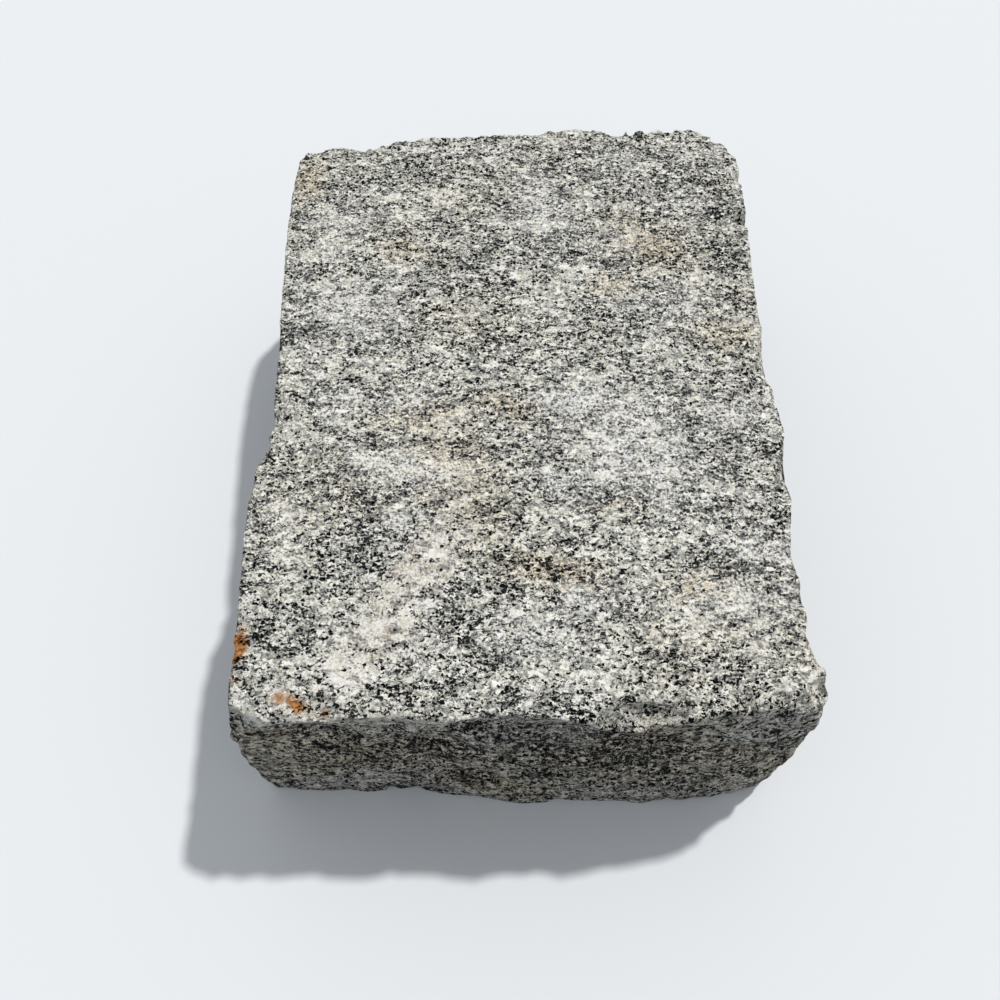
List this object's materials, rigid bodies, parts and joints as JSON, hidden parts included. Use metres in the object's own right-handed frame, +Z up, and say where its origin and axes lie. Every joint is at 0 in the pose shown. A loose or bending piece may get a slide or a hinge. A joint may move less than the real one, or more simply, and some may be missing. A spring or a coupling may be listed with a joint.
{
  "type": "belgian block paving stone",
  "caption": "Rough split granite paving stone, a squared slab-like block with chipped arrises and uneven split sides, laid as edging, kerb or paving.",
  "frame": {"origin": "middle of the bed, which is the face that the stone lies on", "axes": "+X across the stone, +Y along its length, +Z up from the bed to the head"},
  "size_m": [0.1964, 0.256, 0.1016],
  "materials": {
    "granite": "rough split granite"
  },
  "bodies": {
    "root": {"block": "granite"}
  },
  "joints": []
}
